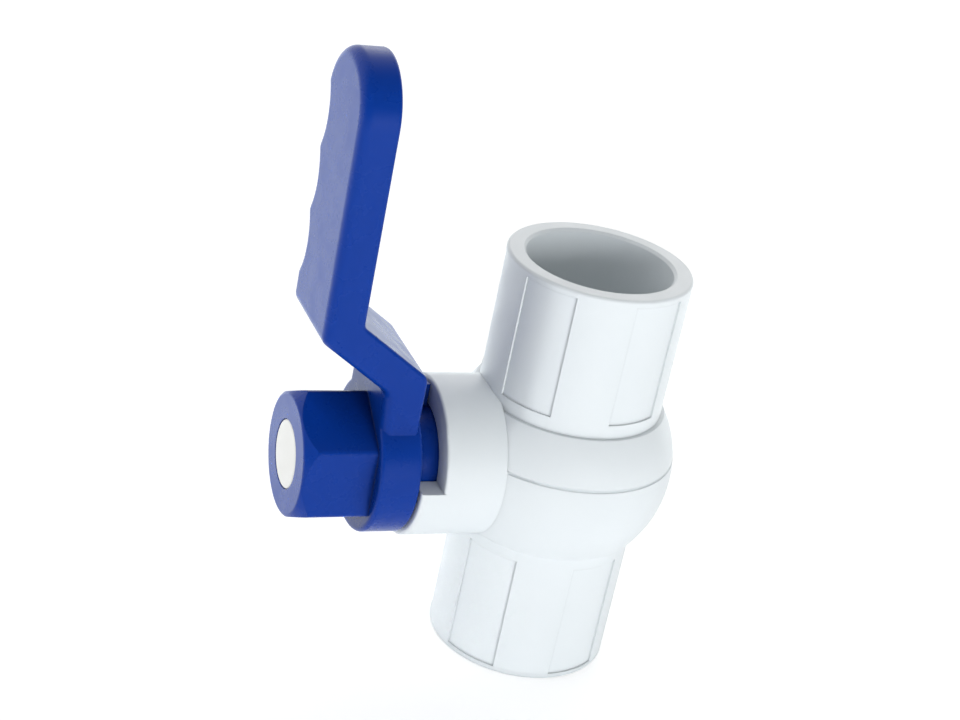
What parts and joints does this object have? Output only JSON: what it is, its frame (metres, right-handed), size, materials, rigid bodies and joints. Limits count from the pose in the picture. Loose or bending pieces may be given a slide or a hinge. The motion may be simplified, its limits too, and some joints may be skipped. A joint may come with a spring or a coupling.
{
  "type": "ball valve",
  "caption": "Plastic ball valve with a plain pipe socket at each end, a round shell with a stem boss and stop rim, and a cranked lever that turns a bored ball a quarter turn.",
  "frame": {"origin": "centre of the lower socket's mouth", "axes": "+Z along the pipe towards the upper socket, the stem and handle towards -X"},
  "size_m": [0.0742, 0.0434, 0.1148],
  "materials": {
    "white_plastic": "smooth moulded",
    "blue_plastic": "smooth moulded",
    "cap_plastic": "smooth moulded",
    "seat_plastic": "turned",
    "seal_rubber": "moulded",
    "fixing_steel": "zinc plated"
  },
  "bodies": {
    "housing": {"valve_body": "white_plastic", "end_connector": "white_plastic", "seat_upper": "seat_plastic", "seat_lower": "seat_plastic", "seat_oring_upper": "seal_rubber", "seat_oring_lower": "seal_rubber"},
    "turning_set": {"ball": "white_plastic", "stem": "white_plastic", "stem_thrust_washer": "seat_plastic", "stem_oring_inner": "seal_rubber", "stem_oring_outer": "seal_rubber", "handle": "blue_plastic", "handle_washer": "fixing_steel", "handle_screw": "fixing_steel", "handle_cap": "cap_plastic"}
  },
  "joints": [
    {"name": "handle_turn", "type": "hinge", "parent": "housing", "child": "turning_set", "pos_m": [0, 0, 0.0395], "axis": [1, 0, 0], "range_deg": [0, 90]}
  ]
}
